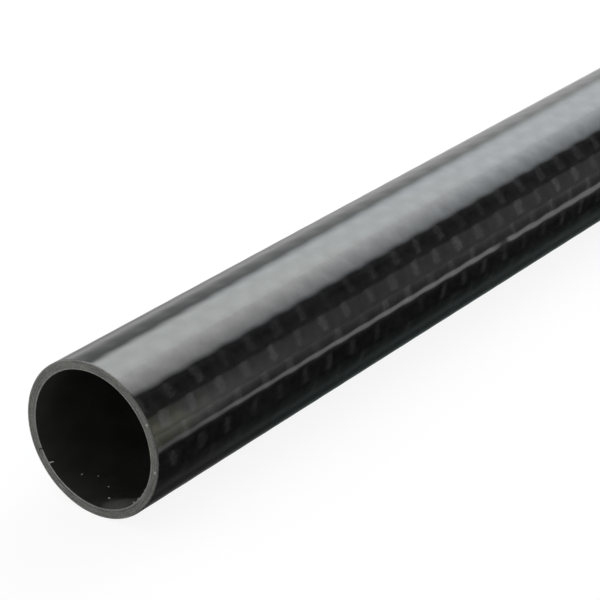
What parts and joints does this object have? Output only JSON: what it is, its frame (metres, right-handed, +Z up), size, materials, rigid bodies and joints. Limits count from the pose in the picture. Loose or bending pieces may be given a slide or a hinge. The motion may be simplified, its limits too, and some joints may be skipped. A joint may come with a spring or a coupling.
{
  "type": "carbon fibre tube",
  "caption": "Straight thin-walled round tube of plain-woven carbon fibre in epoxy, clear-coated gloss outside, smooth bore, sawn square at both ends.",
  "frame": {"origin": "middle of the tube's length, on the ground plane under its axis, where it rests on its side", "axes": "+X along the tube's axis, -X out of the end that faces the camera in the picture; +Y across; +Z up"},
  "size_m": [0.5, 0.016, 0.016],
  "materials": {
    "carbon_laminate": "plain-woven carbon fibre under a gloss clear coat outside, smooth dark epoxy in the bore, matt grey saw cuts at the ends"
  },
  "bodies": {
    "root": {"tube": "carbon_laminate"}
  },
  "joints": []
}
